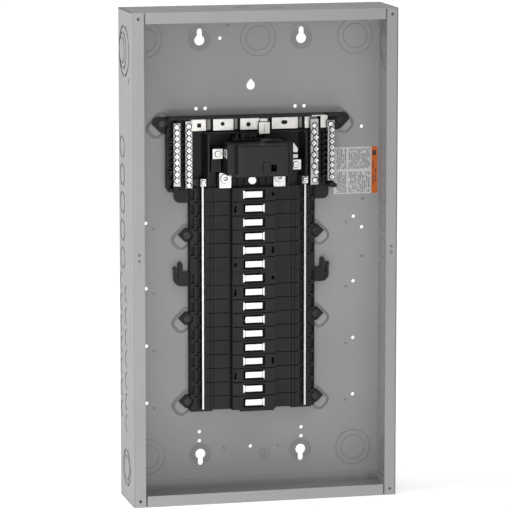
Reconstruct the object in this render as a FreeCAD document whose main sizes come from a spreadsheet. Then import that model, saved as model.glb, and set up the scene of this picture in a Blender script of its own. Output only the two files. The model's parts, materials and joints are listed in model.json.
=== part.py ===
import FreeCAD, Part
import os
import re

# Residential load center: a wall box of bent sheet steel that holds a moulded interior with bus
# bars, plug-on stabs, neutral bars and main lugs.
#
# Frame: millimetres, X to the right and +Z up as seen from the front. The origin is the centre of
# the flat back that lies against the wall, and the open front faces -Y. "Depth" below is the
# distance out from the wall, so a depth of 20 is the plane y = -20.

DRIVING_SIZES = {
    # box
    "box_width": 361.95, "box_height": 662.0, "box_depth": 95.25, "sheet": 1.5, "bend_radius": 3.0,
    "side_flange": 16.0, "end_flange": 15.0, "seam": 2.1, "back_tab": 14.0,
    "cover_hole_x": 172.4, "cover_hole_z": 322.6, "cover_hole_radius": 2.1,
    "middle_hole_z": 6.6, "middle_hole_gap": 8.0,
    "keyhole_x": 70.3, "keyhole_top_z": 284.4, "keyhole_bottom_z": -281.9,
    "keyhole_radius": 6.9, "keyhole_slot": 7.0, "keyhole_reach": 15.6,
    "emboss_ring": 15.0, "wall_hole_radius": 2.4, "slit_half": 0.65, "slit_depth": 1.0,
    # rows of branch positions
    "row_pitch": 19.05, "first_row_z": 76.3,
    # branch mouldings
    "branch_half": 87.5, "branch_back": 4.5, "flat_depth": 14.0, "centre_depth": 24.0,
    "centre_half": 30.0, "rim_depth": 12.5, "rim_inner": 76.0, "trough_inner": 66.5,
    "trough_depth": 8.0, "wall": 2.5, "line_depth": 3.0,
    "window_half": 15.2, "window_height": 13.0, "stab_half": 11.9, "stab_height": 8.2,
    "stab_depth": 23.0, "flare_gap": 0.5, "flare_width": 2.6, "flare_height": 12.4,
    "bus_depth": 6.0, "bus_thick": 3.0, "bus_inner": 8.0, "bus_outer": 26.0,
    # fixing ears of the interior
    "ear_x": 89.6, "first_ear_z": 21.7, "ear_pitch": 114.3, "ear_depth": 8.0, "ear_tip": 101.5,
    "ear_half": 9.5, "ear_boss_radius": 7.4, "mains_ear_x": 123.5, "mains_ear_z": 173.8,
    "screw_hole_radius": 2.6, "screw_shank_radius": 2.0, "pilot_radius": 2.0,
    # mains moulding
    "mains_half": 118.2, "mains_right": 114.5, "mains_bottom": 85.9, "mains_top": 183.0, "mains_floor": 7.0,
    "bay_half": 68.6, "bay_foot": 101.0, "bay_top": 162.0, "bay_depth": 45.0,
    # neutral parts
    "rail_x": 71.0, "rail_width": 2.8, "rail_front": 24.0, "rail_top": 89.0, "rail_bottom": -216.0,
    "strap_top": 180.0, "strap_bottom": 163.6, "strap_depth": 15.0, "strap_thick": 1.6,
    "strap_dip": 6.0, "bar_front": 25.0, "bar_width": 9.1, "bar_seat": 16.6, "bar_back": 13.0,
    "binding_pitch": 8.03, "binding_head": 3.7, "wire_hole": 1.9,
    # mains cover, lugs and line terminals
    "cover_half": 45.2, "cover_raised_half": 35.0, "cover_bottom": 107.8, "cover_top": 150.2,
    "cover_step": 61.0, "cover_front": 83.0, "cover_back": 21.5,
    "lug_left_x": 39.0, "lug_right_x": 36.0, "lug_half": 8.1, "lug_bottom": 85.9, "lug_top": 106.5,
    "lug_front": 20.5, "lug_screw_radius": 6.2, "lug_screw_z": 98.6, "lug_wire_depth": 14.6,
    "terminal_x": 53.9, "terminal_depth": 41.0, "terminal_width": 14.0, "terminal_height": 13.4,
    "terminal_left_z": 135.2, "terminal_right_z": 117.7, "terminal_screw_radius": 2.4,
    "stud_z": 94.3, "clearance": 0.05,
}

doc = FreeCAD.newDocument("load_center")
sheet = doc.addObject("Spreadsheet::Sheet", "Size")


def fill_sheet():
    """Write every driving size to the spreadsheet, with its name as the cell's alias."""
    for row, (alias, number) in enumerate(DRIVING_SIZES.items(), start=1):
        sheet.set(f"A{row}", alias)
        sheet.set(f"B{row}", str(number))
        sheet.setAlias(f"B{row}", alias)
    doc.recompute()


def size(alias):
    """The number that the spreadsheet holds under this alias."""
    return float(sheet.get(alias))


def bound(text):
    """Turn a short formula in alias words into one that the expression engine reads."""
    def cell(match):
        word = match.group()
        return "Size." + word if word in DRIVING_SIZES else word
    return re.sub(r"[A-Za-z_]+", cell, str(text))


# ---------------------------------------------------------------- primitives

def slab(name, x, z, depth):
    """A box given by its low and high x, low and high z, and near and far depth."""
    box = doc.addObject("Part::Box", name)
    box.setExpression("Length", bound(f"({x[1]})-({x[0]})"))
    box.setExpression("Width", bound(f"({depth[1]})-({depth[0]})"))
    box.setExpression("Height", bound(f"({z[1]})-({z[0]})"))
    box.setExpression("Placement.Base.x", bound(x[0]))
    box.setExpression("Placement.Base.y", bound(f"-({depth[1]})"))
    box.setExpression("Placement.Base.z", bound(z[0]))
    return box


def block(name, x, z, depth):
    """A box given by its centre and half width in x and in z, and near and far depth."""
    low_x, high_x = f"({x[0]})-({x[1]})", f"({x[0]})+({x[1]})"
    low_z, high_z = f"({z[0]})-({z[1]})", f"({z[0]})+({z[1]})"
    return slab(name, (low_x, high_x), (low_z, high_z), depth)


def disc(name, x, z, depth, radius):
    """A cylinder whose axis points out of the wall."""
    cylinder = doc.addObject("Part::Cylinder", name)
    turn = FreeCAD.Rotation(FreeCAD.Vector(1, 0, 0), 90)
    cylinder.Placement = FreeCAD.Placement(FreeCAD.Vector(0, 0, 0), turn)
    cylinder.setExpression("Radius", bound(radius))
    cylinder.setExpression("Height", bound(f"({depth[1]})-({depth[0]})"))
    cylinder.setExpression("Placement.Base.x", bound(x))
    cylinder.setExpression("Placement.Base.y", bound(f"-({depth[0]})"))
    cylinder.setExpression("Placement.Base.z", bound(z))
    return cylinder


def rod_x(name, x, depth, z, radius):
    """A cylinder along X, from the first to the second x."""
    cylinder = doc.addObject("Part::Cylinder", name)
    turn = FreeCAD.Rotation(FreeCAD.Vector(0, 1, 0), 90)
    cylinder.Placement = FreeCAD.Placement(FreeCAD.Vector(0, 0, 0), turn)
    cylinder.setExpression("Radius", bound(radius))
    cylinder.setExpression("Height", bound(f"({x[1]})-({x[0]})"))
    cylinder.setExpression("Placement.Base.x", bound(x[0]))
    cylinder.setExpression("Placement.Base.y", bound(f"-({depth})"))
    cylinder.setExpression("Placement.Base.z", bound(z))
    return cylinder


def rod_z(name, x, depth, z, radius):
    """A cylinder along Z, from the first to the second z."""
    cylinder = doc.addObject("Part::Cylinder", name)
    cylinder.setExpression("Radius", bound(radius))
    cylinder.setExpression("Height", bound(f"({z[1]})-({z[0]})"))
    cylinder.setExpression("Placement.Base.x", bound(x))
    cylinder.setExpression("Placement.Base.y", bound(f"-({depth})"))
    cylinder.setExpression("Placement.Base.z", bound(z[0]))
    return cylinder


def ring(name, x, z, depth, radius, width):
    """A flat ring that faces out of the wall, such as the cut line round a knockout."""
    outer = disc(name + "_out", x, z, depth, f"({radius})+{width / 2}")
    inner = disc(name + "_in", x, z, depth, f"({radius})-{width / 2}")
    return cut(name, outer, [inner])


def fuse(name, shapes):
    """Join shapes that touch or overlap into one solid."""
    if len(shapes) == 1:
        return shapes[0]
    joined = doc.addObject("Part::MultiFuse", name)
    joined.Shapes = shapes
    joined.Refine = True
    return joined


def group(name, shapes):
    """Keep separate solids together in one node."""
    held = doc.addObject("Part::Compound", name)
    held.Links = shapes
    return held


def cut(name, base, tools):
    """Take the tools away from the base. The tools may touch each other."""
    removed = doc.addObject("Part::Cut", name)
    removed.Base = base
    removed.Tool = fuse(name + "_tools", tools)
    removed.Refine = True
    return removed


def outline_prism(name, points, low_z, high_z):
    """A prism along Z, over an outline given as (x, depth) corners."""
    corners = [FreeCAD.Vector(x, -depth, low_z) for x, depth in points]
    face = Part.Face(Part.makePolygon(corners + corners[:1]))
    feature = doc.addObject("Part::Feature", name)
    feature.Shape = face.extrude(FreeCAD.Vector(0, 0, high_z - low_z))
    return feature


def front_prism(name, points, near_depth, far_depth):
    """A prism along the depth, over an outline given as (x, z) corners."""
    corners = [FreeCAD.Vector(x, -near_depth, z) for x, z in points]
    face = Part.Face(Part.makePolygon(corners + corners[:1]))
    feature = doc.addObject("Part::Feature", name)
    feature.Shape = face.extrude(FreeCAD.Vector(0, near_depth - far_depth, 0))
    return feature


nodes = {}


def node(name, feature):
    """Give a finished sub-part the name that labels it and names its file."""
    feature.Label = name
    nodes[name] = feature
    return feature


def both_sides():
    """The two hands of a mirrored piece: the sign of x and the word for it."""
    return ((-1, "left"), (1, "right"))


def row_z(row):
    """Height of the middle of a branch row, counted from 1 at the top."""
    return f"(first_row_z-{row - 1}*row_pitch)"


# ---------------------------------------------------------------- steel box

def rounded_rectangle(centre_x, centre_z, long_side, short_side, radius, turn, depth):
    """A closed wire in the plane of one depth, turned about its own centre."""
    half_long, half_short = long_side / 2 - radius, short_side / 2 - radius
    edges = []
    corners = [(half_long, half_short, 0), (-half_long, half_short, 90),
               (-half_long, -half_short, 180), (half_long, -half_short, 270)]
    ends = []
    for x, z, start in corners:
        arc_points = []
        for angle in (start, start + 45, start + 90):
            spoke = FreeCAD.Rotation(FreeCAD.Vector(0, 0, 1), angle).multVec(FreeCAD.Vector(radius, 0, 0))
            arc_points.append(FreeCAD.Vector(x + spoke.x, z + spoke.y, 0))
        ends.append((arc_points[0], arc_points[2]))
        edges.append(Part.Arc(*arc_points).toShape())
    for index in range(4):
        edges.append(Part.LineSegment(ends[index][1], ends[(index + 1) % 4][0]).toShape())
    wire = Part.Wire(Part.__sortEdges__(edges))
    flat = FreeCAD.Placement(FreeCAD.Vector(0, 0, 0), FreeCAD.Rotation(FreeCAD.Vector(0, 0, 1), turn))
    upright = FreeCAD.Placement(FreeCAD.Vector(centre_x, -depth, centre_z),
                                FreeCAD.Rotation(FreeCAD.Vector(1, 0, 0), 90))
    wire.Placement = upright.multiply(flat)
    return wire


def emboss(name, centre_x, centre_z, long_side, short_side, turn, base_depth, rise):
    """A raised pad with sloping sides, from the base depth up by the rise."""
    slope = 3.0 * rise
    foot = rounded_rectangle(centre_x, centre_z, long_side + slope, short_side + slope,
                             6.0 + slope / 2, turn, base_depth)
    top = rounded_rectangle(centre_x, centre_z, long_side, short_side, 6.0, turn, base_depth + rise)
    feature = doc.addObject("Part::Feature", name)
    feature.Shape = Part.makeLoft([foot, top], True, True)
    return feature


def ear_places():
    """Centres of the eight fixing screws, with the side each one is on."""
    places = []
    for side, word in both_sides():
        places.append((side, word, "mains", f"{side}*mains_ear_x", "mains_ear_z"))
        for level in range(3):
            places.append((side, word, f"branch{level}", f"{side}*ear_x", f"first_ear_z-{level}*ear_pitch"))
    return places


def place_number(formula):
    """Work out a place formula in alias words."""
    total = str(formula)
    for alias in sorted(DRIVING_SIZES, key=len, reverse=True):
        total = total.replace(alias, repr(size(alias)))
    return FreeCAD.Units.Quantity(total).Value


def wrapper_profile():
    """The bent sheet of back, sides and front flanges, as a sketch padded up the box."""
    body = doc.addObject("PartDesign::Body", "wrapper_sheet")
    base_plane = next(f for f in body.Origin.OriginFeatures if f.Role == "XY_Plane")
    sketch = body.newObject("Sketcher::SketchObject", "wrapper_section")
    sketch.AttachmentSupport = [(base_plane, "")]
    sketch.MapMode = "FlatFace"
    half, depth, thick = size("box_width") / 2, size("box_depth"), size("sheet")
    lip, outer = half - size("side_flange"), size("bend_radius")
    inner = outer - thick
    run = [(-lip, -depth), (-half, -depth), (-half, 0), (half, 0), (half, -depth), (lip, -depth)]
    back = [(lip, -depth + thick), (half - thick, -depth + thick), (half - thick, -thick),
            (-half + thick, -thick), (-half + thick, -depth + thick), (-lip, -depth + thick)]
    for outline, radius in ((run, outer), (back, inner)):
        add_rounded_line(sketch, outline, radius)
    add_line(sketch, run[-1], back[0])
    add_line(sketch, back[-1], run[0])
    pad = body.newObject("PartDesign::Pad", "wrapper_length")
    pad.Profile = sketch
    pad.setExpression("Length", bound("box_height"))
    pad.Midplane = True
    return body


def add_line(sketch, start, end):
    """Add a straight line between two (x, y) points to a sketch."""
    first, last = FreeCAD.Vector(*start, 0), FreeCAD.Vector(*end, 0)
    sketch.addGeometry(Part.LineSegment(first, last), False)


def add_rounded_line(sketch, points, radius):
    """Add a path of square corners to a sketch, each corner rounded by the radius."""
    spots = [FreeCAD.Vector(x, y, 0) for x, y in points]
    start = spots[0]
    for before, corner, after in zip(spots, spots[1:], spots[2:]):
        into = (corner - before).normalize()
        out = (after - corner).normalize()
        arc_start = corner - into * radius
        arc_end = corner + out * radius
        centre = arc_start + out * radius
        middle = centre + (corner - centre).normalize() * radius
        sketch.addGeometry(Part.LineSegment(start, arc_start), False)
        sketch.addGeometry(Part.Arc(arc_start, middle, arc_end), False)
        start = arc_end
    sketch.addGeometry(Part.LineSegment(start, spots[-1]), False)


def keyhole(name, x, z, upward):
    """A round hole with a narrower slot that the wall screw's neck slides into."""
    round_part = disc(name + "_round", x, z, (-1, 6), "keyhole_radius")
    reach = f"{upward}*(keyhole_reach-keyhole_slot/2)"
    slot_end = disc(name + "_end", x, f"({z})+{reach}", (-1, 6), "keyhole_slot/2")
    low, high = (z, f"({z})+{reach}") if upward > 0 else (f"({z})+{reach}", z)
    slot = slab(name + "_slot", (f"({x})-keyhole_slot/2", f"({x})+keyhole_slot/2"), (low, high), (-1, 6))
    return [round_part, slot_end, slot]


def knockout_rings(name, x, z, radii, depth):
    """The shallow cut lines of a concentric knockout in the back."""
    return [ring(f"{name}_{index}", x, z, depth, radius, 0.9) for index, radius in enumerate(radii)]


def sunk(face, end):
    """Low and high coordinate of a cut into the outer side of a wall, negative or positive end."""
    return (f"-{face}-1", f"-{face}+slit_depth") if end < 0 else (f"{face}-slit_depth", f"{face}+1")


def side_ring(name, side, depth, z, radius, bridge=(0, 0)):
    """The cut line of a knockout in a side wall, with a bridge left between these two depths."""
    span = sunk("box_width/2", side)
    outer = rod_x(name + "_out", span, depth, z, f"{radius}+slit_half")
    inner = rod_x(name + "_in", span, depth, z, f"{radius}-slit_half")
    spared = [inner]
    if bridge[1] > bridge[0]:
        spared.append(block(name + "_bridge", (f"{side}*box_width/2", 5), (z, radius + 2), bridge))
    return cut(name, outer, spared)


def end_ring(name, end, x, depth, radius, bridge=(0, 0)):
    """The cut line of a knockout in the top (1) or bottom (-1) wall."""
    span = sunk("box_height/2", end)
    outer = rod_z(name + "_out", x, depth, span, f"{radius}+slit_half")
    inner = rod_z(name + "_in", x, depth, span, f"{radius}-slit_half")
    spared = [inner]
    if bridge[1] > bridge[0]:
        spared.append(block(name + "_bridge", (x, radius + 2), (f"{end}*box_height/2", 5), bridge))
    return cut(name, outer, spared)


def side_knockouts():
    """Cut lines of all the knockouts in the left and right walls."""
    rings = []
    for side, word in both_sides():
        for index, (radius, depth) in enumerate(((33.0, 41.0), (24.0, 32.0), (17.5, 25.5))):
            rings.append(side_ring(f"big_{word}_{index}", side, depth, 276.5, radius, (depth - 4, depth + 4)))
        for index, radius in enumerate((24.0, 17.0)):
            rings.append(side_ring(f"low_{word}_{index}", side, 45, -286, radius, (41, 49)))
        for index in range(5):
            rings.append(side_ring(f"mid_{word}_{index}", side, 25.5, f"147-{index}*37.4", 14.0, (22, 29)))
        for index in range(7):
            for row, depth, top in (("back", 20, -35.0), ("front", 50, -49.6)):
                rings.append(side_ring(f"{row}_{word}_{index}", side, depth, f"{top}-{index}*29.2", 11.1,
                                       (depth - 3, depth + 15)))
        for index, z in enumerate((239.0, -286.0)):
            x = (f"{side}*box_width/2", "slit_depth")
            rings.append(block(f"tick_{word}_{index}", x, (z, 3.1), (70.0, 71.2)))
    return rings


def back_holes():
    """Round screw holes through the back, besides the keyholes."""
    half_rows = [(74.8, 192.2), (62.3, 192.2), (71.5, -251.3), (71.5, -263.8)]
    places = [(side * x, z) for side in (-1, 1) for x, z in half_rows]
    places += [(side * 144.5, z) for side in (-1, 1) for z in (38.6, -50.7, -129.7, -208.5)]
    places += [(-41.9, 286.4), (0, -274.7), (155.5, 162.1), (156.3, 23.6)]
    return [disc(f"wall_hole_{index}", x, z, (-1, 6), "wall_hole_radius")
            for index, (x, z) in enumerate(places)]


def back_dimples():
    """Small round marks pressed into the inner face of the back."""
    places = [(side * 134.2, z) for side in (-1, 1) for z in (31.4, -57.7, -136.6, -215.5)]
    places += [(-31.7, 304.0), (157.1, 62.8), (156.7, -16.2), (-37.6, -275.0), (38.3, -275.2)]
    return [ring(f"dimple_{index}", x, z, (0.6, 3), 1.5, 1.0) for index, (x, z) in enumerate(places)]


def earth_mark():
    """The general sign for protective earth, sunk into the foot of the back."""
    x, z, depth = 19.5, -286.5, (0.9, 3)
    return [ring("earth_ring", x, z, depth, 7.7, 0.9), block("earth_stem", (x, 0.45), (z + 3.6, 3.8), depth),
            block("earth_long", (x, 5.0), (z, 0.45), depth),
            block("earth_middle", (x, 3.2), (z - 2.2, 0.45), depth),
            block("earth_short", (x, 1.4), (z - 4.4, 0.45), depth)]


def make_box_wrapper():
    """Back, both sides and the side flanges, one bent sheet with its raised pads and holes."""
    sheet_depth = size("sheet") - 0.1
    raised, hollows, pilots = [], [], []
    for side, word, level, x, z in ear_places():
        centre_x = place_number(x) + side * 2.8
        centre_z = place_number(z) - 2.8
        args = (centre_x, centre_z, 28.6, 17.2, -side * 45)
        raised.append(emboss(f"pad_{word}_{level}", *args, sheet_depth, 3.1))
        hollow_args = (centre_x, centre_z, 26.6, 15.2, -side * 45)
        hollows.append(emboss(f"pad_hollow_{word}_{level}", *hollow_args, -0.2, 3.2))
        pilots.append(disc(f"pilot_{word}_{level}", x, z, (-1, 6), "pilot_radius"))
    keyholes = []
    for side, word in both_sides():
        for end, z in ((1, "keyhole_top_z"), (-1, "keyhole_bottom_z")):
            name = f"keyhole_{word}_{'top' if end > 0 else 'bottom'}"
            x = f"{side}*keyhole_x"
            rim = disc(name + "_emboss", x, f"{z}+{end * 4}", (sheet_depth, "sheet+0.9"), "emboss_ring")
            raised.append(rim)
            hollows.append(disc(name + "_hollow", x, f"{z}+{end * 4}", (-1, 0.9), "emboss_ring-1"))
            keyholes += keyhole(name, x, z, end)
    tear_drop = [disc("tear_round", 0.6, 221.7, (-1, 6), 5.8),
                 front_prism("tear_point", [(-5.2, 224.0), (0.6, 231.4), (6.4, 224.0)], -1, 6)]
    rings = []
    for name, x, z in (("top_middle", 10.7, 285.8), ("top_left", -145.7, 286.3), ("top_right", 145.7, 286.3),
                       ("bottom_left", -144.9, -282.5), ("bottom_right", 144.9, -282.5)):
        rings += knockout_rings(name, x, z, (24.3, 16.5), (0.8, 3))
    cover_holes = []
    for side, word in both_sides():
        for index, z in enumerate(("cover_hole_z", "-cover_hole_z", "middle_hole_z+middle_hole_gap/2",
                                   "middle_hole_z-middle_hole_gap/2")):
            cover_holes.append(disc(f"cover_hole_{word}_{index}", f"{side}*cover_hole_x", z,
                                    ("box_depth-4", "box_depth+2"), "cover_hole_radius"))
    whole = fuse("wrapper_raised", [wrapper_profile()] + raised)
    openings = hollows + pilots + keyholes + tear_drop + back_holes() + cover_holes
    pierced = cut("wrapper_pierced", whole, openings)
    marks = back_dimples() + earth_mark() + rings + side_knockouts()
    marked = cut("box_wrapper_shape", pierced, marks)
    node("box_wrapper", marked)


def make_end_wall(end, word):
    """Top (1) or bottom (-1) wall: a plate with a front flange and a tab on the back."""
    def span(near, far):
        """Low and high z of a strip this far in from the outer face of the end."""
        edges = (f"{end}*(box_height/2-{near})", f"{end}*(box_height/2-{far})")
        return (edges[1], edges[0]) if end > 0 else edges
    inside = "box_width/2-sheet-0.05"
    flange_half = "box_width/2-side_flange-seam"
    plate = slab(word + "_plate", (f"-({inside})", inside), span("0", "sheet"),
                 ("sheet", "box_depth-sheet-0.1"))
    lip = slab(word + "_lip", (f"-({flange_half})", flange_half), span("0", "end_flange"),
               ("box_depth-sheet", "box_depth"))
    nose = slab(word + "_nose", (f"-({flange_half})", flange_half), span("0", "sheet"),
                ("box_depth-2*sheet", "box_depth"))
    tab = slab(word + "_tab", (f"-({inside}-12)", f"{inside}-12"), span("0", "back_tab"),
               ("sheet", "2*sheet"))
    ears = []
    for side, hand in both_sides():
        x = (f"{side}*({inside})-1.5", f"{side}*({inside})") if side > 0 else \
            (f"{side}*({inside})", f"{side}*({inside})+1.5")
        ears.append(slab(f"{word}_ear_{hand}", x, span("0", "back_tab"), (12, "box_depth-12")))
    whole = fuse(word + "_whole", [plate, lip, nose, tab] + ears)
    rings = []
    for side, hand in both_sides():
        for index, (x, depth) in enumerate(((60.5, 56), (92, 56), (90, 17), (132, 54), (151, 31), (122, 20))):
            rings.append(end_ring(f"{word}_ring_{hand}_{index}", end, f"{side}*{x}", depth, 11.1,
                                  (depth - 3, depth + 15)))
    for index, radius in enumerate((32.0, 25.0, 17.5)):
        rings.append(end_ring(f"{word}_centre_{index}", end, "0", 45, radius))
    node(word + "_end_wall", cut(word + "_end_shape", whole, rings))


def make_wiring_label():
    """A printed sheet stuck to the inside of the back, right of the interior."""
    node("wiring_label", slab("label_sheet", (116.5, 178.0), (70.0, 134.0), ("sheet", "sheet+0.3")))


# ---------------------------------------------------------------- moulded interior

# Low and high x of the crossover strap's raised pads, and the length of the slope beside each.
STRAP_PADS = ((-94.4, -64.6), (-54.6, -26.8), (-17.4, 19.6), (26.4, 62.5), (72.0, 88.6),
              (94.2, 104.0))
STRAP_SLOPE = 2.5

def ear_outline(side, x, z):
    """Corners of a branch ear: a square set on its corner, its tip pointing outwards."""
    tip, half, root = size("ear_tip"), size("ear_half"), size("branch_half") - 2
    shoulder = tip - half
    return [(side * root, z + half), (side * shoulder, z + half), (side * tip, z),
            (side * shoulder, z - half), (side * root, z - half)]


def branch_section():
    """Outline across a branch moulding, as (x, depth) corners from left to right."""
    back, flat, centre = size("branch_back"), size("flat_depth"), size("centre_depth")
    rim, trough = size("rim_depth"), size("trough_depth")
    half, rim_inner, trough_inner = size("branch_half"), size("rim_inner"), size("trough_inner")
    middle, wall = size("centre_half"), size("wall")
    right_front = [(middle, centre), (middle + 1.0, flat), (trough_inner, flat),
                   (trough_inner, trough), (rim_inner, trough), (rim_inner, rim),
                   (half - 1.5, rim), (half, rim - 1.5), (half, back)]
    right_back = [(trough_inner - wall, back), (trough_inner - wall, flat - wall),
                  (middle - wall, flat - wall), (middle - wall, centre - wall)]
    left_back = [(-x, depth) for x, depth in reversed(right_back)]
    left_front = [(-x, depth) for x, depth in reversed(right_front)]
    return left_front + right_front + right_back + left_back


def branch_tools(word, first, last):
    """Everything taken out of a branch moulding: windows, slots, recesses and dividing lines."""
    tools = []
    for side, hand in both_sides():
        for index, x in enumerate((54.6, 59.0)):
            tools.append(block(f"groove_{word}_{hand}_{index}", (f"{side}*{x}", 0.5), (0, 400),
                               ("flat_depth-1.4", 20)))
    for row in range(first, last + 1):
        z = row_z(row)
        label = f"{word}_{row}"
        flare_side = -1 if row % 2 else 1
        tools.append(block(f"flare_slot_{label}", (f"{flare_side}*13.6", 1.6),
                           (z, "flare_height/2+0.2"), (9, 13)))
        tools.append(block(f"window_{label}", (0, "window_half"), (z, "window_height/2"), (12.4, 30)))
        tools.append(block(f"bulge_{label}", (0, 9), (z, "window_height/2+0.7"), (22.4, 30)))
        odd = row % 2 == 1
        slot_side = 1 if odd else -1
        if row in (1, 2, 5, 6, 7, 8, 13, 14):
            tall = 2.5 if row in (1, 6, 7) else 4.7
            tools.append(block(f"slot_{label}", (f"{slot_side}*26.2", 1.85), (z, tall), (18, 30)))
        for side, hand in both_sides():
            if row not in (4, 6, 10, 16):
                tools.append(block(f"recess_{label}_{hand}", (f"{side}*83", 2.4), (z, 6.4), (8, 20)))
        if row < last:
            edge = f"{z}-row_pitch/2"
            tools.append(block(f"line_{label}", (0, 27.6), (edge, 0.6), ("centre_depth-line_depth", 30)))
            for side, hand in both_sides():
                tools.append(disc(f"line_end_{label}_{hand}", f"{side}*27.6", edge,
                                  ("centre_depth-line_depth", 30), 1.2))
                tools.append(block(f"line_{label}_{hand}", (f"{side}*48.5", 15.4), (edge, 0.6),
                                   ("flat_depth-line_depth", 20)))
                tools.append(block(f"nick_{label}_{hand}", (f"{side}*78.6", 3.1), (edge, 0.7),
                                   ("rim_depth-2.5", 20)))
    return tools


def make_branch_base(word, first, last, extras):
    """One of the two branch mouldings, covering the rows from first to last."""
    pitch = size("row_pitch")
    high = size("first_row_z") - (first - 1.5) * pitch - 0.15
    low = size("first_row_z") - (last - 0.5) * pitch + 0.15
    parts = [outline_prism(f"{word}_section", branch_section(), low, high)]
    parts.append(slab(f"{word}_well_floor", (-28.5, 28.5), (low, high), (9.6, 12.4)))
    holes = []
    for side, hand in both_sides():
        for level in range(3):
            z = size("first_ear_z") - level * size("ear_pitch")
            if low < z < high:
                label = f"{word}_{hand}_{level}"
                parts.append(front_prism(f"ear_{label}", ear_outline(side, 0, z),
                                         size("branch_back"), size("ear_depth") - 1.5))
                parts.append(disc(f"boss_{label}", f"{side}*ear_x", z, ("branch_back", "ear_depth"),
                                  "ear_boss_radius"))
                holes.append(disc(f"ear_hole_{label}", f"{side}*ear_x", z, (0, 20), "screw_hole_radius"))
                holes.append(disc(f"head_room_{label}", f"{side}*ear_x", z, ("ear_depth", 20), 7.4))
    for row in range(first, last):
        for side, hand in both_sides():
            for edge_index, x in enumerate((67.3, 75.2)):
                parts.append(block(f"snap_{word}_{row}_{hand}_{edge_index}", (f"{side}*{x}", 1.1),
                                   (f"{row_z(row)}-row_pitch/2", 2.6), ("trough_depth-1", 16)))
    whole = fuse(f"{word}_whole", parts + extras)
    node(f"branch_base_{word}", cut(f"{word}_shape", whole, branch_tools(word, first, last) + holes))


def upper_tabs():
    """Rounded tabs at the head of the upper moulding, one on each side."""
    tabs = []
    for side, hand in both_sides():
        inner, outer, top, bottom, corner = 86.5, 107.0, 84.0, 66.0, 8.0
        low, high = (-outer, -inner) if side < 0 else (inner, outer)
        flat = slab(f"tab_{hand}", (low, high), (bottom, top), ("branch_back", 10))
        round_x = side * (outer - corner)
        strip = (side * outer, round_x) if side < 0 else (round_x, outer)
        square = slab(f"tab_corner_{hand}", strip, (bottom - 1, bottom + corner), (0, 12))
        keep = disc(f"tab_round_{hand}", round_x, bottom + corner, ("branch_back", 10), corner)
        tabs += [cut(f"tab_cut_{hand}", flat, [square]), keep]
    return tabs


def wire_hooks():
    """J-shaped wire guides at the head of the lower moulding: two fingers on each side."""
    hooks = []
    depth = ("branch_back", 10)

    def strip(name, side, near, far, low, high):
        """A slab between two distances from the middle, on the side asked for."""
        x = (side * near, side * far) if side > 0 else (side * far, side * near)
        return slab(name, x, (low, high), depth)

    for side, hand in both_sides():
        parts = [strip(f"palm_{hand}", side, 86.5, 102.1, -38.2, -28.5),
                 strip(f"palm_foot_{hand}", side, 86.5, 98.0, -47.8, -38.2),
                 strip(f"finger_{hand}", side, 95.8, 102.1, -38.2, -18.1),
                 strip(f"outer_finger_{hand}", side, 104.1, 107.7, -38.2, -23.4),
                 disc(f"palm_corner_{hand}", side * 98.0, -38.1, depth, 9.7),
                 disc(f"finger_end_{hand}", side * 98.95, -18.1, depth, 3.15),
                 disc(f"outer_end_{hand}", side * 106.1, -23.2, depth, 2.1),
                 front_prism(f"barb_{hand}",
                             [(side * 105.5, -21.6), (side * 109.6, -24.4), (side * 107.0, -27.0)],
                             size("branch_back"), 10)]
        gaps = [strip(f"hook_gap_{hand}", side, 102.1, 104.1, -35.0, -10.0),
                strip(f"hook_notch_{hand}", side, 87.0, 95.8, -28.5, -20.0)]
        hooks.append(cut(f"hook_{hand}", fuse(f"hook_whole_{hand}", parts), gaps))
    return hooks


def foot_lips():
    """Low lips along the foot of the lower moulding."""
    foot = size("first_row_z") - 15.5 * size("row_pitch")
    places = ((-70, 15.5, 4.5, 9), (4.5, 24, 19, 22), (69, 14.5, 4.5, 9))
    return [slab(f"lip_{index}", (x - half, x + half), (foot - 2.6, foot + 1), (near, far))
            for index, (x, half, near, far) in enumerate(places)]


def stab_flare(name, side, z):
    """The upright of a stab, which widens towards its outer edge."""
    inner = side * (size("stab_half") + size("flare_gap"))
    outer = inner + side * size("flare_width")
    tall, short = size("flare_height") / 2, size("stab_height") / 2 + 0.4
    outline = [(inner, z - short), (outer, z - tall), (outer, z + tall), (inner, z + short)]
    return front_prism(name, outline, size("bus_depth") + 1, size("stab_depth"))


def make_bus_bar(side, word):
    """A bus bar behind the branch mouldings, with a stab for every other row."""
    first = 1 if side < 0 else 2
    inner, outer = f"{side}*bus_inner", f"{side}*bus_outer"
    x = (outer, inner) if side < 0 else (inner, outer)
    parts = [slab(f"bus_{word}", x, (f"{row_z(16)}-8", 96.0),
                  ("bus_depth", "bus_depth+bus_thick"))]
    foot = (f"{side}*46", inner) if side < 0 else (inner, f"{side}*46")
    parts.append(slab(f"bus_head_{word}", foot, (86.0, 96.0), ("bus_depth", "bus_depth+bus_thick")))
    for row in range(first, 17, 2):
        z = row_z(row)
        blade = block(f"stab_{word}_{row}", (0, "stab_half"), (z, "stab_height/2"), (13, "stab_depth"))
        root = block(f"stab_root_{word}_{row}", (f"{side}*(stab_half+0.3)", 0.8),
                     (z, "stab_height/2"), (13, "stab_depth-1.5"))
        parts += [blade, root, stab_flare(f"flare_{word}_{row}", side, place_number(z))]
    node(f"bus_bar_{word}", fuse(f"bus_bar_{word}_shape", parts))


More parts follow.
